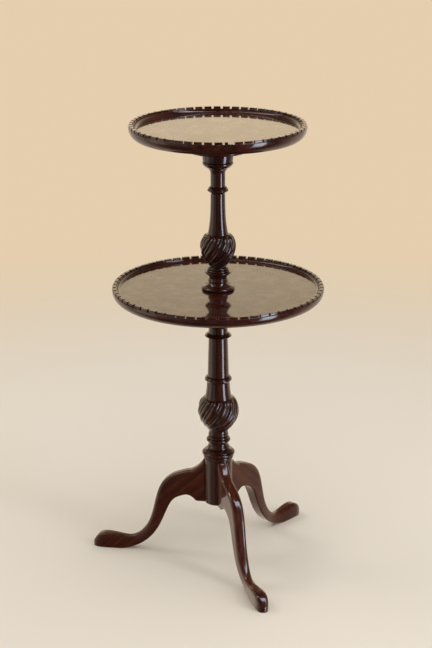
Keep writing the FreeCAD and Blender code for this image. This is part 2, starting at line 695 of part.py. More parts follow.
lower_column_height = heights(LOWER_MEMBERS)
upper_column_height = heights(UPPER_MEMBERS)
lower_capital_top = dim.drum_clearance + lower_column_height
lower_block_level = lower_capital_top + dim.washer_thickness + dim.running_gap
lower_tray_level = lower_block_level + dim.lower_block_height
upper_column_level = (lower_tray_level + dim.tray_thickness - dim.seat_depth
                      + dim.running_gap)
upper_capital_top = upper_column_level + upper_column_height
upper_block_level = upper_capital_top + dim.washer_thickness + dim.running_gap
upper_tray_level = upper_block_level + dim.upper_block_height
journal_length = upper_column_level - lower_capital_top
tongue_height = dim.drum_height - dim.tongue_headroom

LEG_NAMES = ["front_leg", "right_leg", "left_leg"]
FIRST_LEG_ANGLE = 270
LEG_SPACING = 360 / len(LEG_NAMES)


# ---------------------------------------------------------------------------
# Iron plate and its seat
# ---------------------------------------------------------------------------

def plate_blank(name, gap, thickness):
    """Round hub with one arm to each leg, the first arm along +X."""
    body = new_body(name)
    hub = new_sketch(body, name + "_hub", "XY_Plane")
    draw_circle(hub, 0, 0, dim.plate_hub_radius + gap)
    pad(body, hub, name + "_hub_pad", thickness)
    arm = new_sketch(body, name + "_arm", "XY_Plane")
    half = dim.plate_arm_width / 2 + gap
    shoulder = dim.plate_arm_reach - dim.plate_arm_round + gap
    draw_outline(arm, (0, -half), [(shoulder, -half), (shoulder, half, dim.plate_arm_round),
                                   (0, half), (0, -half)])
    arm_pad = pad(body, arm, name + "_arm_pad", thickness)
    polar(body, arm_pad, name + "_arms", len(LEG_NAMES))
    return body


def countersunk_hole(body, name, reach, depth):
    """Hole up from the underside whose countersink takes a wood screw's head."""
    sketch = new_sketch(body, name + "_outline", "XZ_Plane")
    head = reach + dim.screw_head_radius + dim.running_gap
    shank = reach + dim.screw_radius + dim.running_gap
    draw_outline(sketch, (reach, 0), [(head, 0), (shank, dim.screw_head_height),
                                      (shank, depth), (reach, depth), (reach, 0)])
    return spin(body, sketch, name, reach, depth, "PartDesign::Groove")


def spin(body, sketch, name, reach, depth, kind):
    """Turn a sketch once round an upright line at the given distance from the axis."""
    line = sketch.addGeometry(
        Part.LineSegment(Vector(reach.value, 0, 0), Vector(reach.value, depth.value, 0)), True)
    fix_point(sketch, line, 1, reach, 0)
    fix_point(sketch, line, 2, reach, depth)
    feature = body.newObject(kind, name)
    feature.Profile = (sketch, [""])
    feature.ReferenceAxis = (sketch, ["Axis0"])
    feature.Angle = 360
    return feature


def make_plate():
    body = plate_blank("plate", as_size(0), dim.plate_thickness)
    hole = countersunk_hole(body, "plate_arm_hole", dim.plate_screw_reach, dim.plate_thickness)
    polar(body, hole, "plate_arm_holes", len(LEG_NAMES))
    countersunk_hole(body, "plate_middle_hole", as_size(0), dim.plate_thickness)
    return place(body, dim.drum_clearance, FIRST_LEG_ANGLE, "brace_plate")


def make_screws(label, level, reach, length, count, angle=0):
    """Countersunk wood screws in a ring, heads down, as separate solids of one node."""
    body = new_body(label + "_body")
    body.AllowCompound = True
    sketch = new_sketch(body, label + "_outline", "XZ_Plane")
    shank = reach + dim.screw_radius
    draw_outline(sketch, (reach, 0), [
        (reach + dim.screw_head_radius, 0), (shank, dim.screw_head_height),
        (shank, length - dim.screw_point_length), (reach, length), (reach, 0)])
    screw = spin(body, sketch, label + "_turning", reach, length, "PartDesign::Revolution")
    slot = new_sketch(body, label + "_slot", "XY_Plane")
    draw_box(slot, reach - dim.screw_head_radius, -dim.screw_slot_width / 2,
             reach + dim.screw_head_radius, dim.screw_slot_width / 2)
    slot_cut = pocket(body, slot, label + "_slot_cut", dim.screw_slot_depth, True)
    if count > 1:
        pattern = polar(body, screw, label + "_ring", count)
        pattern.Originals = [screw, slot_cut]
    return place(body, level, angle, label)


# ---------------------------------------------------------------------------
# Columns
# ---------------------------------------------------------------------------

def join(name, parts):
    fusion = doc.addObject("Part::MultiFuse", name)
    fusion.Shapes = parts
    return fusion


def cut(name, base, tools):
    """Cut one tool, or several joined ones, out of a base."""
    difference = doc.addObject("Part::Cut", name)
    difference.Base = base
    difference.Tool = tools[0] if len(tools) == 1 else join(name + "_tools", tools)
    return difference


def turned_body(name, start, steps):
    """Solid turned about Z from a closed outline of radius and height."""
    body = new_body(name)
    outline = new_sketch(body, name + "_outline", "XZ_Plane")
    draw_outline(outline, start, steps)
    revolve(body, outline, name + "_turning")
    return body


def level_of(member, members, foot_height):
    """Height of the foot of one member of a column."""
    below = members[:members.index(member)]
    return foot_height + heights(below)


def dovetail(sketch, gap):
    """Dovetail outline along +X, wider inside the drum and run out past its face."""
    inner = dim.drum_radius - dim.tongue_depth - gap
    face = dim.drum_radius + dim.joint_gap * 2
    tip = dim.tongue_tip_width / 2 + gap
    root = dim.tongue_root_width / 2 + gap
    draw_outline(sketch, (inner, -tip), [(face, -root), (face, root), (inner, tip),
                                         (inner, -tip)])


def make_lower_column():
    steps, top = stack_profile(LOWER_MEMBERS, 0)
    bore = dim.tenon_radius + dim.joint_gap
    bore_floor = top - dim.tenon_length - dim.tenon_end_gap
    steps += [(bore, top), (bore, bore_floor), (0, bore_floor), (0, 0)]
    turning = turned_body("lower_turning", (0, 0), steps)
    knop = writhen_knop("lower_knop", dim.lower_knop_foot_radius, dim.lower_knop_belly_radius,
                        dim.lower_knop_top_radius, dim.lower_knop_height,
                        dim.lower_knop_belly_height, dim.lower_knop_lobes)
    place(knop, level_of(LOWER_KNOP, LOWER_MEMBERS, as_size(0)))
    sockets = new_body("dovetail_sockets")
    outline = new_sketch(sockets, "socket_outline", "XY_Plane")
    dovetail(outline, dim.joint_gap)
    socket = pad(sockets, outline, "socket_pad", tongue_height + dim.joint_gap)
    polar(sockets, socket, "socket_ring", len(LEG_NAMES))
    place(sockets, 0, FIRST_LEG_ANGLE)
    seat = plate_blank("drum_plate_seat", dim.joint_gap, dim.plate_thickness + dim.joint_gap)
    place(seat, 0, FIRST_LEG_ANGLE)
    pilot = new_body("middle_screw_hole")
    ring = new_sketch(pilot, "middle_screw_outline", "XY_Plane")
    draw_circle(ring, 0, 0, dim.screw_radius + dim.joint_gap)
    pad(pilot, ring, "middle_screw_pad", dim.plate_screw_length + dim.joint_gap)
    column = cut("lower_column_cut", join("lower_column_blank", [turning, knop]),
                 [sockets, seat, pilot])
    return place(column, dim.drum_clearance, 0, "lower_column")


def make_upper_column():
    """Column with its journal and tenon below and the upper tray's pivot above."""
    foot = dim.tenon_length + journal_length
    steps, top = stack_profile(UPPER_MEMBERS, foot)
    below = [(dim.tenon_radius, 0), (dim.tenon_radius, dim.tenon_length),
             (dim.journal_radius, dim.tenon_length), (dim.journal_radius, foot)]
    head = top + dim.pivot_length
    above = [(dim.pivot_radius, top), (dim.pivot_radius, head), (0, head), (0, 0)]
    turning = turned_body("upper_turning", (0, 0), below + steps + above)
    knop = writhen_knop("upper_knop", dim.upper_knop_foot_radius, dim.upper_knop_belly_radius,
                        dim.upper_knop_top_radius, dim.upper_knop_height,
                        dim.upper_knop_belly_height, dim.upper_knop_lobes)
    place(knop, level_of(UPPER_KNOP, UPPER_MEMBERS, foot))
    column = join("upper_column_join", [turning, knop])
    return place(column, lower_capital_top - dim.tenon_length, 0, "upper_column")


# ---------------------------------------------------------------------------
# Trays, their blocks and washers
# ---------------------------------------------------------------------------

QUARTER_SWELL = 1 - math.sqrt(0.5)


def tray_outline(radius, slope, swell, top, middle):
    """Outline of a dished tray with a raised rim, from its underside round to its floor.

    middle goes on from the edge of the floor to the underside.
    """
    ledge = top - dim.notch_depth
    outer = radius - dim.ledge_width
    inner = outer - dim.rim_width
    step = inner - dim.rim_step_width
    soft = dim.rim_round * QUARTER_SWELL
    return [
        (radius - slope, 0),
        (radius, ledge - dim.ledge_round, swell),
        (radius - dim.ledge_round, ledge, dim.ledge_round * QUARTER_SWELL),
        (outer, ledge),
        (outer, top - dim.rim_round),
        (outer - dim.rim_round, top, soft),
        (inner + dim.rim_round, top),
        (inner, top - dim.rim_round, soft),
        (inner, top - dim.rim_step_drop),
        (step, top - dim.rim_step_drop),
        (step - dim.rim_cove_width, dim.tray_thickness, -dim.rim_cove_sink),
    ] + middle


def notch_rim(body, name, radius, count, top):
    """Cut the rim into short blocks all the way round."""
    half = dim.notch_width / 2
    breadth = dim.ledge_width + dim.rim_width + dim.rim_step_width + dim.rim_cove_width
    sketch = new_sketch(body, name + "_notch_outline", "YZ_Plane", radius - breadth)
    draw_box(sketch, -half, top - dim.notch_depth, half, top + dim.rim_round)
    notch = pocket(body, sketch, name + "_notch", breadth + dim.rim_round, True)
    polar(body, notch, name + "_notches", count)


def chip_rim(body, radius, top):
    """Worn gap in the upper rim, steep at one end and sloping at the other."""
    half = dim.chip_width / 2
    floor = top - dim.chip_depth
    sketch = new_sketch(body, "chip_outline", "YZ_Plane")
    sketch.AttachmentOffset = Placement(Vector(), Rotation(Vector(0, 1, 0), dim.chip_angle.value))
    bind(sketch, "AttachmentOffset.Rotation.Angle", dim.chip_angle)
    draw_outline(sketch, (-half, floor), [
        (half - dim.chip_slope, floor), (half, top + dim.rim_round),
        (-half, top + dim.rim_round), (-half, floor)])
    pocket(body, sketch, "chip", radius + dim.rim_round, True)


def pilot_holes(body, name, depth):
    """Holes up into the underside for the screws of the block."""
    sketch = new_sketch(body, name + "_pilot_outline", "XY_Plane")
    draw_circle(sketch, dim.block_screw_circle, 0, dim.screw_radius + dim.joint_gap)
    hole = pocket(body, sketch, name + "_pilot", depth, True)
    polar(body, hole, name + "_pilots", dim.block_screws)


def make_tray(name, level, turn, radius, slope, swell, top, notches, middle):
    body = turned_body(name + "_body", middle[-1],
                       tray_outline(radius, slope, swell, top, middle))
    pilot_holes(body, name, dim.block_screw_bite + dim.joint_gap)
    notch_rim(body, name, radius, notches, top)
    return place(body, level, turn, name)


def make_block(name, level, turn, radius, height, bore, bore_height):
    """Turned block with a bead round its foot, bored for the column."""
    head = radius + dim.block_head_spread
    quirk = radius - dim.block_step
    steps = [(radius, 0), (radius, dim.block_bead_height, dim.block_bead_swell),
             (quirk, dim.block_bead_height), (head, height, -dim.block_cove_sink)]
    if bore_height is None:
        steps += [(bore, height), (bore, 0)]
    else:
        steps += [(0, height), (0, bore_height), (bore, bore_height), (bore, 0)]
    body = turned_body(name + "_body", (bore, 0), steps)
    hole = countersunk_hole(body, name + "_screw_hole", dim.block_screw_circle, height)
    polar(body, hole, name + "_screw_holes", dim.block_screws)
    return place(body, level, turn, name)


def make_washer(name, level, inner, outer):
    body = turned_body(name + "_body", (inner, 0), [
        (outer, 0), (outer, dim.washer_thickness), (inner, dim.washer_thickness), (inner, 0)])
    return place(body, level, 0, name)


# ---------------------------------------------------------------------------
# Legs
# ---------------------------------------------------------------------------

def draw_leg_side(sketch):
    """Side view of a leg: reach from the axis along X, height from the floor along Y.

    It runs on past the toe into spare wood that the plan view saws off.
    """
    drum = dim.drum_clearance
    inside = dim.drum_radius - dim.tongue_depth / 2
    shelf = (dim.drum_radius + dim.shelf_run, drum + dim.shelf_rise)
    head = drum + dim.drum_height - dim.leg_top_gap
    under_end = dim.drum_radius + dim.under_run
    under_poles = [
        (dim.heel_reach, dim.heel_height),
        (dim.calf_foot_reach, dim.calf_foot_height),
        (dim.calf_reach, dim.calf_height),
        (dim.hollow_reach, drum + dim.hollow_rise),
        (dim.apron_reach, drum + dim.apron_rise),
        (dim.cusp_reach, drum + dim.cusp_rise),
    ]
    far = dim.toe_reach + dim.toe_waste
    top_poles = [
        (dim.toe_front_reach, dim.toe_front_height),
        (dim.toe_crown_reach, dim.toe_crown_height),
        (dim.instep_reach, dim.instep_height),
        (dim.ankle_reach, dim.ankle_height),
        (dim.shin_foot_reach, dim.shin_foot_height),
        (dim.shin_reach, drum + dim.shin_rise),
        (dim.knee_reach, drum + dim.knee_rise),
        (dim.knee_start_reach, drum + dim.knee_start_rise),
    ]
    draw_outline(sketch, (inside, drum), [
        (under_end, drum),
        (dim.sole_reach, 0, list(reversed(under_poles))),
        (far, 0),
        (far, dim.toe_waste_height),
        (shelf[0], shelf[1], top_poles),
        (dim.drum_radius, head, -dim.shelf_sink),
        (inside, head),
        (inside, drum),
    ])


def draw_leg_plan(sketch):
    """Everything beside the leg and in front of its rounded toe, as seen from above."""
    half = dim.leg_thickness / 2
    foot = dim.foot_half_width
    border = foot * 2
    toe = dim.toe_reach
    corner = toe - dim.toe_corner_run
    draw_box(sketch, -border, -border, toe + dim.toe_waste + border, border)
    side_poles = [
        (dim.taper_reach + dim.taper_run, half),
        (dim.ankle_start_reach, dim.ankle_half_width),
        (dim.ankle_end_reach, dim.ankle_end_half_width),
        (dim.foot_start_reach, foot),
    ]
    toe_poles = [(toe - dim.toe_corner_run / 3, foot), (toe, foot * 2 / 3)]
    draw_outline(sketch, (0, -half), [
        (dim.taper_reach, -half), (corner, -foot, [(x, -y) for x, y in side_poles]),
        (toe, 0, [(x, -y) for x, y in toe_poles]), (corner, foot, list(reversed(toe_poles))),
        (dim.taper_reach, half, list(reversed(side_poles))), (0, half), (0, -half)])


def long_edges(shape, curves):
    """Edges of a solid that follow curves of its side view, beside the middle plane."""
    chosen = []
    for curve in curves:
        for number, edge in enumerate(shape.Edges, start=1):
            middle = edge.valueAt((edge.FirstParameter + edge.LastParameter) / 2)
            stray = curve.distToShape(Part.Vertex(middle.x, 0, middle.z))[0]
            if abs(middle.y) > dim.ankle_half_width.value / 2 and stray < dim.joint_gap.value:
                chosen.append(f"Edge{number}")
    return chosen


def round_edges(body, name, base, edges, radius):
    fillet = body.newObject("PartDesign::Fillet", name)
    fillet.Base = (base, edges)
    bind(fillet, "Radius", radius)
    return fillet


def make_leg(name, angle):
    """Sawn to its side view, then to its plan, rounded, and dovetailed to the drum."""
    body = new_body(name + "_body")
    side = new_sketch(body, name + "_side", "XZ_Plane")
    draw_leg_side(side)
    pad(body, side, name + "_blank", dim.foot_half_width * 3, True)
    plan = new_sketch(body, name + "_plan", "XY_Plane")
    draw_leg_plan(plan)
    sawn = pocket(body, plan, name + "_sawn")
    doc.recompute()
    curves = [edge for edge in side.Shape.Edges if not isinstance(edge.Curve, Part.Line)]
    shelf, top, under = sorted(curves, key=lambda edge: -edge.BoundBox.ZMax)
    upper = round_edges(body, name + "_top_round", sawn, long_edges(sawn.Shape, [shelf, top]),
                        dim.leg_top_round)
    doc.recompute()
    round_edges(body, name + "_under_round", upper, long_edges(upper.Shape, [under]),
                dim.leg_under_round)
    hollow = new_sketch(body, name + "_drum_outline", "XY_Plane")
    draw_circle(hollow, 0, 0, dim.drum_radius + dim.joint_gap)
    pocket(body, hollow, name + "_drum_hollow")
    tongue = new_sketch(body, name + "_tongue_outline", "XY_Plane", dim.drum_clearance)
    dovetail(tongue, as_size(0))
    pad(body, tongue, name + "_tongue", tongue_height)
    pilot = new_sketch(body, name + "_screw_outline", "XY_Plane", dim.drum_clearance)
    draw_circle(pilot, dim.plate_screw_reach, 0, dim.screw_radius + dim.joint_gap)
    pocket(body, pilot, name + "_screw_hole", dim.plate_screw_length + dim.joint_gap, True)
    seat = plate_blank(name + "_plate_seat", dim.joint_gap,
                       dim.plate_thickness + dim.joint_gap)
    place(seat, dim.drum_clearance)
    leg = cut(name + "_cut", body, [seat])
    return place(leg, 0, angle, name)


# ---------------------------------------------------------------------------
# The table
# ---------------------------------------------------------------------------

def make_stand():
    pieces = [make_lower_column(), make_upper_column(), make_plate()]
    for number, name in enumerate(LEG_NAMES):
        pieces.append(make_leg(name, FIRST_LEG_ANGLE + LEG_SPACING * number))
    pieces.append(make_screws("plate_leg_screws", dim.drum_clearance, dim.plate_screw_reach,
                              dim.plate_screw_length, len(LEG_NAMES), FIRST_LEG_ANGLE))
    pieces.append(make_screws("plate_middle_screw", dim.drum_clearance, as_size(0),
                              dim.plate_screw_length, 1))
    pieces.append(make_washer("lower_washer", lower_capital_top,
                              dim.journal_radius + dim.running_gap,
                              dim.lower_capital_disc_radius - dim.washer_border))
    pieces.append(make_washer("upper_washer", upper_capital_top,
                              dim.pivot_radius + dim.running_gap,
                              dim.upper_capital_disc_radius - dim.washer_border))
    return pieces


def make_lower_tier():
    bore = dim.journal_radius + dim.running_gap
    turn = dim.lower_tray_turn
    length = dim.lower_block_height + dim.block_screw_bite
    seat = dim.foot_ring_radius + dim.foot_ring_swell + dim.running_gap
    seat_floor = dim.tray_thickness - dim.seat_depth
    middle = [(seat, dim.tray_thickness), (seat, seat_floor), (bore, seat_floor), (bore, 0)]
    return [
        make_tray("lower_tray", lower_tray_level, turn, dim.lower_tray_radius,
                  dim.lower_edge_slope, dim.lower_edge_swell,
                  dim.tray_thickness + dim.lower_rim_height, dim.lower_notches, middle),
        make_block("lower_tray_block", lower_block_level, turn, dim.lower_block_radius,
                   dim.lower_block_height, bore, None),
        make_screws("lower_block_screws", lower_block_level, dim.block_screw_circle, length,
                    int(dim.block_screws.value), turn),
    ]


def make_upper_tier():
    bore = dim.pivot_radius + dim.running_gap
    turn = dim.upper_tray_turn
    length = dim.upper_block_height + dim.block_screw_bite
    top = dim.tray_thickness + dim.upper_rim_height
    middle = [(as_size(0), dim.tray_thickness), (as_size(0), 0)]
    tray = make_tray("upper_tray", upper_tray_level, turn, dim.upper_tray_radius,
                     dim.upper_edge_slope, dim.upper_edge_swell, top, dim.upper_notches, middle)
    chip_rim(tray, dim.upper_tray_radius, top)
    return [
        tray,
        make_block("upper_tray_block", upper_block_level, turn, dim.upper_block_radius,
                   dim.upper_block_height, bore,
                   dim.pivot_length - dim.washer_thickness + dim.bore_end_gap),
        make_screws("upper_block_screws", upper_block_level, dim.block_screw_circle, length,
                    int(dim.block_screws.value), turn),
    ]


def check_document():
    """Stop at any object that failed to build."""
    for obj in doc.Objects:
        if {"Invalid", "Error"} & set(obj.State):
            raise RuntimeError(f"{obj.Name} failed: {obj.State}")


def export(pieces):
    os.makedirs("parts", exist_ok=True)
    for piece in pieces:
        if piece.Shape.isNull() or not piece.Shape.isValid():
            raise RuntimeError(f"{piece.Label} has no valid shape")
    for piece in pieces:
        piece.Shape.exportStep(f"parts/{piece.Label}.step")
        box = piece.Shape.BoundBox
        print(f"{piece.Label}: {len(piece.Shape.Solids)} solid(s), "
              f"{piece.Shape.Volume / 1000:.1f} cm3, z {box.ZMin:.1f} to {box.ZMax:.1f}")


nodes = make_stand() + make_lower_tier() + make_upper_tier()
doc.recompute()
check_document()
export(nodes)
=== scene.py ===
"""Looks of the two-tier dumbwaiter table: camera, light, floor and French-polished mahogany."""
import math

import bpy
from mathutils import Euler, Matrix, Vector

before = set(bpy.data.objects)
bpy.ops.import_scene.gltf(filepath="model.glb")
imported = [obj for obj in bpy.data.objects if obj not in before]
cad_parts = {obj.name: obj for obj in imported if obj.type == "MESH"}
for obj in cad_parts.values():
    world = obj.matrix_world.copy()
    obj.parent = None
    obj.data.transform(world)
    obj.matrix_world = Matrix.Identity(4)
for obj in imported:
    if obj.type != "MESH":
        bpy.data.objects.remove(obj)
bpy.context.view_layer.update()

# ---------------------------------------------------------------------------
# Camera, in metres and degrees. Azimuths are positions round the column from +X.
# ---------------------------------------------------------------------------

IMAGE_HEIGHT_PX = 648
FOCAL_LENGTH_PX = 1640
SENSOR_MM = 36
EYE_AZIMUTH = 250.5
EYE_DISTANCE = 3.115
EYE_HEIGHT = 1.572
EYE_PITCH = 18.8
EYE_ROLL = -0.15
EYE_PAN = 0.08


def polar(azimuth, distance, height):
    """Point at an azimuth and distance from the column's axis."""
    angle = math.radians(azimuth)
    return Vector((distance * math.cos(angle), distance * math.sin(angle), height))


def make_camera():
    """Camera that looks across the column's axis, tilted down onto the table."""
    camera = bpy.data.objects.new("camera", bpy.data.cameras.new("camera"))
    camera.data.sensor_fit = "VERTICAL"
    camera.data.sensor_height = SENSOR_MM
    camera.data.sensor_width = SENSOR_MM
    camera.data.lens = FOCAL_LENGTH_PX / IMAGE_HEIGHT_PX * SENSOR_MM
    turn = Euler((0, 0, math.radians(EYE_AZIMUTH + 90 + EYE_PAN))).to_matrix()
    tilt = Euler((math.radians(90 - EYE_PITCH), 0, 0)).to_matrix()
    roll = Euler((0, 0, math.radians(EYE_ROLL))).to_matrix()
    place = Matrix.Translation(polar(EYE_AZIMUTH, EYE_DISTANCE, EYE_HEIGHT))
    camera.matrix_world = place @ (turn @ tilt @ roll).to_4x4()
    bpy.context.scene.collection.objects.link(camera)
    bpy.context.scene.camera = camera


# ---------------------------------------------------------------------------
# Node trees of the materials and the world
# ---------------------------------------------------------------------------

class Tree:
    """A node tree with short calls for what the materials and the world are made of."""

    def __init__(self, tree):
        self.nodes = tree.nodes
        self.links = tree.links

    def add(self, kind, **settings):
        node = self.nodes.new("ShaderNode" + kind)
        for name, value in settings.items():
            setattr(node, name, value)
        return node

    def feed(self, socket, value):
        """Link an output to a socket, or set the socket to a constant."""
        if isinstance(value, bpy.types.NodeSocket):
            self.links.new(value, socket)
        else:
            socket.default_value = value

    def vector(self, operation, first, second=None):
        node = self.add("VectorMath", operation=operation)
        self.feed(node.inputs[0], first)
        if second is not None:
            self.feed(node.inputs[1], second)
        return node.outputs["Value" if operation in ("DOT_PRODUCT", "LENGTH") else "Vector"]

    def step(self, value, low, high):
        """Smooth rise from 0 to 1 between two values."""
        node = self.add("MapRange", interpolation_type="SMOOTHSTEP")
        self.feed(node.inputs["Value"], value)
        node.inputs["From Min"].default_value = low
        node.inputs["From Max"].default_value = high
        return node.outputs["Result"]

    def math(self, operation, *values):
        node = self.add("Math", operation=operation)
        for socket, value in zip(node.inputs, values):
            self.feed(socket, value)
        return node.outputs[0]

    def ramp(self, factor, stops):
        """Colours, or greys given as single numbers, at their positions along a factor."""
        node = self.add("ValToRGB")
        elements = node.color_ramp.elements
        while len(elements) < len(stops):
            elements.new(1)
        for element, (position, colour) in zip(elements, stops):
            element.position = position
            element.color = (*colour, 1) if isinstance(colour, tuple) else (colour,) * 3 + (1,)
        self.feed(node.inputs["Fac"], factor)
        return node.outputs["Color"]

    def mix(self, blend, factor, first, second):
        node = self.add("Mix", data_type="RGBA", blend_type=blend, clamp_result=False)
        self.feed(node.inputs["Factor"], factor)
        for socket, value in zip((node.inputs["A"], node.inputs["B"]), (first, second)):
            self.feed(socket, value)
        return node.outputs["Result"]

    def noise(self, vector, scale, detail, roughness, distortion):
        node = self.add("TexNoise")
        self.feed(node.inputs["Vector"], vector)
        for name, value in (("Scale", scale), ("Detail", detail), ("Roughness", roughness),
                            ("Distortion", distortion)):
            node.inputs[name].default_value = value
        return node.outputs["Fac"]

    def grain(self, vector, stretch, detail, roughness, distortion):
        """Noise with its own scale along each axis."""
        node = self.add("Mapping")
        self.feed(node.inputs["Vector"], vector)
        node.inputs["Scale"].default_value = stretch
        return self.noise(node.outputs[0], 1, detail, roughness, distortion)

    def bump(self, height, distance, strength, normal):
        node = self.add("Bump")
        self.feed(node.inputs["Height"], height)
        self.feed(node.inputs["Normal"], normal)
        node.inputs["Distance"].default_value = distance
        node.inputs["Strength"].default_value = strength
        return node.outputs[0]


def new_shader(name):
    """New material, its tree and its principled shader."""
    material = bpy.data.materials.new(name)
    material.use_nodes = True
    tree = Tree(material.node_tree)
    return material, tree, tree.nodes["Principled BSDF"]


# ---------------------------------------------------------------------------
# Light, floor and backdrop
# ---------------------------------------------------------------------------

WALL_AZIMUTH = EYE_AZIMUTH - 180
BACKDROP = (0.785, 0.62, 0.425)
WORLD_LIGHT = (0.66, 0.64, 0.61)

# What the polish mirrors of the walls, from behind the camera (0) round to the one it faces (1).
ROOM = [
    (0.00, (0.16, 0.14, 0.15)),
    (0.42, (0.18, 0.15, 0.15)),
    (0.62, (0.42, 0.34, 0.25)),
    (0.80, (1.00, 0.80, 0.54)),
    (1.00, (1.32, 1.06, 0.71)),
]
# How bright the mirrored walls are, by the sine of the mirrored direction's height above level.
ROOM_SHADE = [
    (0.00, 0.40),
    (0.11, 0.55),
    (0.20, 1.10),
    (0.31, 0.95),
    (0.39, 0.42),
    (0.50, 0.12),
]
# The mirrored floor, dark behind the camera and lit in front of the wall.
FLOOR_MIRRORED = [(0.45, (0.070, 0.052, 0.038)), (0.75, (0.80, 0.66, 0.52))]
# Sine of the height, above and below level, over which the mirrored floor turns into the walls.
FLOOR_EDGE_SINE = 0.04

# Bright bands of the mirrored room: azimuth, half width and softness of the sides in degrees,
# sine of the height where they start and the run over which they come up, radiance.
BRIGHT_BANDS = [
    (306, 5.0, 6.0, -0.70, 0.35, (6.6, 7.2, 8.2)),
    (155, 4.0, 3.0, 0.05, 0.10, (5.6, 5.3, 4.9)),
    (186, 20.0, 20.0, -0.60, 0.35, (0.30, 0.28, 0.24)),
    (166, 9.0, 9.0, -0.60, 0.30, (0.66, 0.58, 0.46)),
]
# What is left of the bands at a height, so that a tray seen from low down stays dark.
BAND_SHADE = [(0.02, 1.0), (0.12, 0.22), (0.50, 0.22), (0.65, 1.0)]

FLOOR_COLOUR = (0.80, 0.73, 0.63)
FLOOR_ROUGHNESS = 0.7
FLOOR_GLOSS = 0.1
FLOOR_RADIUS = 2.6
FLOOR_SIDES = 128
FLOOR_FADE = (0.9, 2.5)

# Lamps: name, azimuth, distance, height of the centre, (width, height), radiance, colour.
LAMPS = [
    ("window", 306, 2.6, 1.35, (0.50, 2.1), 8.0, (0.86, 0.92, 1.0)),
    ("left_lamp", 143, 2.2, 2.5, (0.80, 0.80), 6.0, (1.0, 0.96, 0.90)),
    ("ceiling", 280, 0.6, 3.2, (2.2, 2.2), 1.6, (1.0, 0.97, 0.93)),
]
LAMP_TARGET = Vector((0, 0, 0.6))


def make_lamp(name, azimuth, distance, height, size, radiance, colour):
    """Rectangular lamp that faces the table. What the polish mirrors of it is in the room."""
    data = bpy.data.lights.new(name, "AREA")
    data.shape = "RECTANGLE"
    data.size, data.size_y = size
    data.energy = radiance * math.pi * size[0] * size[1]
    data.color = colour
    lamp = bpy.data.objects.new(name, data)
    lamp.location = polar(azimuth, distance, height)
    lamp.rotation_euler = (LAMP_TARGET - lamp.location).to_track_quat("-Z", "Y").to_euler()
    lamp.visible_camera = False
    lamp.visible_glossy = False
    bpy.context.scene.collection.objects.link(lamp)


def mirrored_room(tree):
    """Pale wall where the camera looks, a darker room behind it, its bright bands and its floor."""
    towards = tree.add("TexCoord").outputs["Generated"]
    level = tree.vector("NORMALIZE", tree.vector("MULTIPLY", towards, (1, 1, 0)))
    height = tree.vector("DOT_PRODUCT", towards, (0, 0, 1))
    facing = tree.vector("DOT_PRODUCT", level, polar(WALL_AZIMUTH, 1, 0))
    facing = tree.math("MULTIPLY_ADD", facing, 0.5, 0.5)
    walls = tree.mix("MULTIPLY", 1.0, tree.ramp(facing, ROOM), tree.ramp(height, ROOM_SHADE))
    above = tree.step(height, -FLOOR_EDGE_SINE, FLOOR_EDGE_SINE)
    room = tree.mix("MIX", above, tree.ramp(facing, FLOOR_MIRRORED), walls)
    shade = tree.ramp(height, BAND_SHADE)
    for azimuth, half_width, softness, foot, rise, radiance in BRIGHT_BANDS:
        beside = tree.vector("DOT_PRODUCT", level, polar(azimuth, 1, 0))
        inner = math.cos(math.radians(half_width))
        outer = math.cos(math.radians(half_width + softness))
        band = tree.math("MULTIPLY", tree.step(beside, outer, inner),
                         tree.step(height, foot, foot + rise))
        room = tree.mix("ADD", tree.math("MULTIPLY", band, shade), room, (*radiance, 1))
    return room


def make_world():
    """Even light, a plain pale backdrop, and a room for the polish to mirror."""
    world = bpy.data.worlds.new("studio")
    bpy.context.scene.world = world
    world.use_nodes = True
    tree = Tree(world.node_tree)
    tree.nodes.clear()
    path = tree.add("LightPath")
    lit = tree.mix("MIX", path.outputs["Is Glossy Ray"], (*WORLD_LIGHT, 1), mirrored_room(tree))
    seen = tree.mix("MIX", path.outputs["Is Camera Ray"], lit, (*BACKDROP, 1))
    light = tree.add("Background")
    tree.feed(light.inputs["Color"], seen)
    tree.feed(tree.add("OutputWorld").inputs[0], light.outputs[0])


def make_floor():
    """Plain pale floor that runs into the backdrop without a line."""
    bpy.ops.mesh.primitive_circle_add(vertices=FLOOR_SIDES, radius=FLOOR_RADIUS,
                                      fill_type="NGON")
    floor = bpy.context.object
    floor.name = "floor"
    floor.visible_glossy = False
    material, tree, shader = new_shader("floor")
    shader.inputs["Base Color"].default_value = (*FLOOR_COLOUR, 1)
    shader.inputs["Roughness"].default_value = FLOOR_ROUGHNESS
    shader.inputs["Specular IOR Level"].default_value = FLOOR_GLOSS
    away = tree.vector("LENGTH", tree.add("TexCoord").outputs["Object"])
    backdrop = tree.add("Emission")
    backdrop.inputs["Color"].default_value = (*BACKDROP, 1)
    seen = tree.math("MULTIPLY", tree.step(away, *FLOOR_FADE),
                     tree.add("LightPath").outputs["Is Camera Ray"])
    blend = tree.add("MixShader")
    tree.feed(blend.inputs[0], seen)
    tree.feed(blend.inputs[1], shader.outputs[0])
    tree.feed(blend.inputs[2], backdrop.outputs[0])
    tree.feed(tree.nodes["Material Output"].inputs["Surface"], blend.outputs[0])
    floor.data.materials.append(material)


# ---------------------------------------------------------------------------
# Edges of every material
# ---------------------------------------------------------------------------

EDGE_SAMPLES = 8
EDGE_GAIN = 6.0
SMALL_EDGE = 0.0003


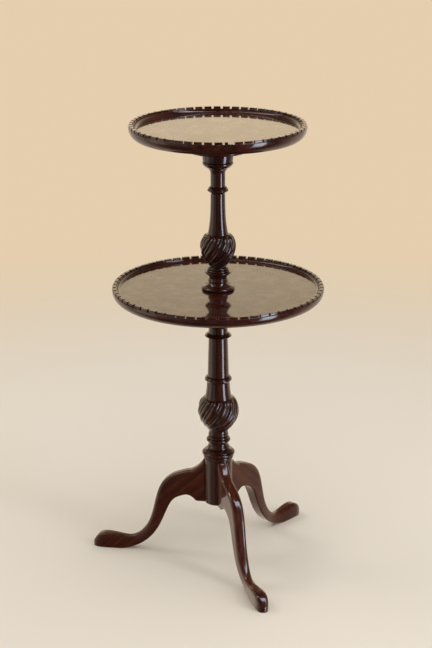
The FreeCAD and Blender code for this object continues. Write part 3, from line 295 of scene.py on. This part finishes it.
def soft_edges(tree, radius):
    """Normal that rounds the sharp edges by a hair, and how near an edge a point is."""
    bevel = tree.add("Bevel", samples=EDGE_SAMPLES)
    bevel.inputs["Radius"].default_value = radius
    flat = tree.add("NewGeometry").outputs["Normal"]
    edge = tree.math("SUBTRACT", 1.0, tree.vector("DOT_PRODUCT", bevel.outputs[0], flat))
    return bevel.outputs[0], tree.math("MULTIPLY", edge, EDGE_GAIN)


# ---------------------------------------------------------------------------
# Mahogany
# ---------------------------------------------------------------------------

# Tones of the wood from its darkest streaks to its palest ones.
COLUMN_TONES = [
    (0.28, (0.012, 0.0022, 0.0016)),
    (0.46, (0.026, 0.0048, 0.0028)),
    (0.60, (0.044, 0.0084, 0.0044)),
    (0.78, (0.074, 0.0170, 0.0080)),
]
LEG_TONES = [
    (0.28, (0.024, 0.0036, 0.0014)),
    (0.46, (0.050, 0.0082, 0.0030)),
    (0.60, (0.074, 0.0140, 0.0052)),
    (0.78, (0.108, 0.0250, 0.0092)),
]
TRAY_TONES = [
    (0.28, (0.016, 0.0022, 0.0014)),
    (0.46, (0.034, 0.0050, 0.0028)),
    (0.60, (0.056, 0.0096, 0.0048)),
    (0.78, (0.090, 0.0210, 0.0092)),
]

# Each wood: tones, edge rounding in shading, height of the waves in its polish, coat roughness.
COLUMN_WOOD = (COLUMN_TONES, 0.0007, 0.00020, 0.090)
LEG_WOOD = (LEG_TONES, 0.0045, 0.00030, 0.075)
TRAY_WOOD = (TRAY_TONES, 0.0010, 0.00006, 0.050)

# Patterns of the wood: repeats in a metre along the fibres and across them both ways, then the
# noise's detail, roughness and distortion.
STREAKS = ((2.6, 115, 115), 5, 0.62, 0.35)
RIBBONS = ((5, 130, 24), 3, 0.5, 0.8)
PORES = ((45, 1100, 1100), 2, 0.6, 0)
POLISH_WAVES = ((14, 48, 48), 2, 0.5, 0)

# Patterns with no direction: repeats in a metre, detail, roughness and distortion.
PATINA = (9, 4, 0.6, 0.4)
RUBBING = (70, 3, 0.5, 0)
SCUFFS = (38, 5, 0.65, 0)

# How much each pattern darkens or lightens the wood.
RIBBON_SHADE = [(0.30, 0.74), (0.70, 1.2)]
PORE_SHADE = [(0.30, 0.25), (0.45, 1.0)]
PORE_STRENGTH = 0.8
PATINA_SHADE = [(0.30, 0.74), (0.70, 1.2)]

# Edges that hands have rubbed pale in places, and painted shade with settled dirt in the grooves.
WORN = (0.150, 0.055, 0.026, 1)
RUBBED_SHARE = [(0.42, 0.0), (0.66, 0.5)]
GROOVE_REACH = 0.008
GROOVE_SAMPLES = 6
GROOVE_SHADE = [(0.35, 0.12), (0.85, 1.0)]

# The wood's own sheen under the coat of polish, and the reliefs: height in metres, strength.
WOOD_ROUGHNESS = [(0.35, 0.30), (0.70, 0.52)]
WOOD_GLOSS = 0.12
COAT_IOR = 1.52
WAVE_STRENGTH = 0.3
PORE_RELIEF = (0.00005, 0.25)
STREAK_RELIEF = (0.0003, 0.3)


def polished_wood(name, fibres, tones, rounding, wave_height, coat_roughness):
    """French-polished mahogany. fibres is the rotation that brings the grain onto the X axis."""
    material, tree, shader = new_shader(name)
    turned = tree.add("Mapping")
    tree.feed(turned.inputs["Vector"], tree.add("TexCoord").outputs["Object"])
    turned.inputs["Rotation"].default_value = fibres
    place = turned.outputs[0]

    streaks = tree.grain(place, *STREAKS)
    ribbons = tree.ramp(tree.grain(place, *RIBBONS), RIBBON_SHADE)
    colour = tree.mix("MULTIPLY", 1.0, tree.ramp(streaks, tones), ribbons)
    pores = tree.grain(place, *PORES)
    colour = tree.mix("MULTIPLY", PORE_STRENGTH, colour, tree.ramp(pores, PORE_SHADE))
    patina = tree.ramp(tree.noise(place, *PATINA), PATINA_SHADE)
    colour = tree.mix("MULTIPLY", 1.0, colour, patina)

    normal, edge = soft_edges(tree, rounding)
    rubbed = tree.math("MULTIPLY", edge, tree.ramp(tree.noise(place, *RUBBING), RUBBED_SHARE))
    colour = tree.mix("MIX", rubbed, colour, WORN)
    # Painted shade: the wood's colour darkens in grooves and recesses by how closed in they are,
    # also standing for dirt settled there.
    groove = tree.add("AmbientOcclusion", samples=GROOVE_SAMPLES, only_local=True)
    groove.inputs["Distance"].default_value = GROOVE_REACH
    groove_shade_and_dirt = tree.ramp(groove.outputs["AO"], GROOVE_SHADE)
    tree.feed(shader.inputs["Base Color"], tree.mix("MULTIPLY", 1.0, colour, groove_shade_and_dirt))

    scuffs = tree.noise(place, *SCUFFS)
    tree.feed(shader.inputs["Roughness"], tree.ramp(scuffs, WOOD_ROUGHNESS))
    shader.inputs["Specular IOR Level"].default_value = WOOD_GLOSS
    shader.inputs["Coat Weight"].default_value = 1
    shader.inputs["Coat Roughness"].default_value = coat_roughness
    shader.inputs["Coat IOR"].default_value = COAT_IOR

    waves = tree.grain(place, *POLISH_WAVES)
    polish = tree.bump(waves, wave_height, WAVE_STRENGTH, normal)
    polish = tree.bump(pores, *PORE_RELIEF, polish)
    tree.feed(shader.inputs["Coat Normal"], polish)
    tree.feed(shader.inputs["Normal"], tree.bump(streaks, *STREAK_RELIEF, polish))
    return material


# ---------------------------------------------------------------------------
# Iron and steel
# ---------------------------------------------------------------------------

# Each metal: its bright and its dull colour, its rust, how much of it rusts, least roughness.
IRON = ((0.10, 0.095, 0.09), (0.035, 0.032, 0.030), (0.085, 0.030, 0.012), 0.44, 0.45)
SCREW_STEEL = ((0.36, 0.34, 0.31), (0.12, 0.11, 0.10), (0.110, 0.045, 0.018), 0.36, 0.30)

DULL_PATCHES = (130, 5, 0.62, 0.4)
DULL_LEVEL = 0.36
BRIGHT_LEVEL = 0.64
ROUGH_LEVEL = 0.30
SMOOTH_LEVEL = 0.70
DULL_ROUGHNESS = 0.2
RUST_SPOTS = (310, 6, 0.7, 0.6)
RUST_FRINGE = 0.08
RUST_ROUGHNESS = 0.85
HAMMER_RELIEF = (0.0004, 0.4)
RUST_RELIEF = (0.0001, 0.5)


def old_metal(name, bright, dull, rust, rust_spread, roughness):
    """Handmade metal, dulled in patches, with spots of rust that are rough and no metal."""
    material, tree, shader = new_shader(name)
    place = tree.add("TexCoord").outputs["Object"]
    patches = tree.noise(place, *DULL_PATCHES)
    colour = tree.ramp(patches, [(DULL_LEVEL, dull), (BRIGHT_LEVEL, bright)])
    spots = tree.noise(place, *RUST_SPOTS)
    rust_level = 1 - rust_spread
    rusty = tree.ramp(spots, [(rust_level - RUST_FRINGE, 0.0), (rust_level, 1.0)])
    tree.feed(shader.inputs["Base Color"], tree.mix("MIX", rusty, colour, (*rust, 1)))
    tree.feed(shader.inputs["Metallic"], tree.math("SUBTRACT", 1.0, rusty))
    bare = tree.ramp(patches, [(ROUGH_LEVEL, roughness + DULL_ROUGHNESS),
                               (SMOOTH_LEVEL, roughness)])
    crust = tree.math("MULTIPLY", rusty, RUST_ROUGHNESS)
    tree.feed(shader.inputs["Roughness"], tree.math("MAXIMUM", bare, crust))
    normal, _ = soft_edges(tree, SMALL_EDGE)
    hammered = tree.bump(patches, *HAMMER_RELIEF, normal)
    tree.feed(shader.inputs["Normal"], tree.bump(spots, *RUST_RELIEF, hammered))
    return material


# ---------------------------------------------------------------------------
# Leather
# ---------------------------------------------------------------------------

LEATHER_TONES = [(0.32, (0.050, 0.022, 0.010)), (0.68, (0.150, 0.072, 0.034))]
LEATHER_STAINS = (80, 5, 0.6, 0.3)
LEATHER_ROUGHNESS = [(0.30, 0.55), (0.70, 0.80)]
LEATHER_CELLS = 900
CREASE_SHADE = [(0.02, 0.35), (0.22, 1.0)]
CREASE_STRENGTH = 0.8
CREASE_RELIEF = (0.00015, 0.5)


def leather(name):
    """Greased leather, stained in patches, with dark creases between its cells."""
    material, tree, shader = new_shader(name)
    place = tree.add("TexCoord").outputs["Object"]
    cells = tree.add("TexVoronoi", feature="DISTANCE_TO_EDGE")
    tree.feed(cells.inputs["Vector"], place)
    cells.inputs["Scale"].default_value = LEATHER_CELLS
    creases = tree.ramp(cells.outputs["Distance"], CREASE_SHADE)
    stains = tree.noise(place, *LEATHER_STAINS)
    colour = tree.mix("MULTIPLY", CREASE_STRENGTH, tree.ramp(stains, LEATHER_TONES), creases)
    tree.feed(shader.inputs["Base Color"], colour)
    tree.feed(shader.inputs["Roughness"], tree.ramp(stains, LEATHER_ROUGHNESS))
    normal, _ = soft_edges(tree, SMALL_EDGE)
    tree.feed(shader.inputs["Normal"], tree.bump(creases, *CREASE_RELIEF, normal))
    return material


# ---------------------------------------------------------------------------
# The table's pieces. Grain directions are in degrees.
# ---------------------------------------------------------------------------

LEG_AZIMUTHS = {"front_leg": 270, "right_leg": 30, "left_leg": 150}
LEG_GRAIN_SLOPE = 42
TRAY_GRAIN = {"lower_tray": 24, "upper_tray": -31}
UPRIGHT = (0, math.radians(90), 0)


def dress(material, *names):
    """Give pieces a material."""
    for name in names:
        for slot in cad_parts[name].material_slots:
            slot.material = material


def leg_fibres(azimuth):
    """A leg is sawn from a plank whose fibres run down from the drum to the foot."""
    outward = Euler((0, 0, math.radians(-azimuth))).to_matrix()
    level = Euler((0, math.radians(-LEG_GRAIN_SLOPE), 0)).to_matrix()
    return (level @ outward).to_euler()


def dress_table():
    """Every piece gets its material. Each leg and each tray is sawn from its own plank."""
    dress(polished_wood("column_mahogany", UPRIGHT, *COLUMN_WOOD), "lower_column", "upper_column")
    for node, azimuth in LEG_AZIMUTHS.items():
        dress(polished_wood(node + "_mahogany", leg_fibres(azimuth), *LEG_WOOD), node)
    for node, angle in TRAY_GRAIN.items():
        across = (0, 0, math.radians(angle))
        dress(polished_wood(node + "_mahogany", across, *TRAY_WOOD), node, node + "_block")
    dress(old_metal("wrought_iron", *IRON), "brace_plate")
    dress(old_metal("screw_steel", *SCREW_STEEL), "plate_leg_screws", "plate_middle_screw",
          "lower_block_screws", "upper_block_screws")
    dress(leather("greased_leather"), "lower_washer", "upper_washer")


make_camera()
make_world()
make_floor()
for lamp in LAMPS:
    make_lamp(*lamp)
dress_table()

bpy.context.scene.view_settings.view_transform = "Standard"
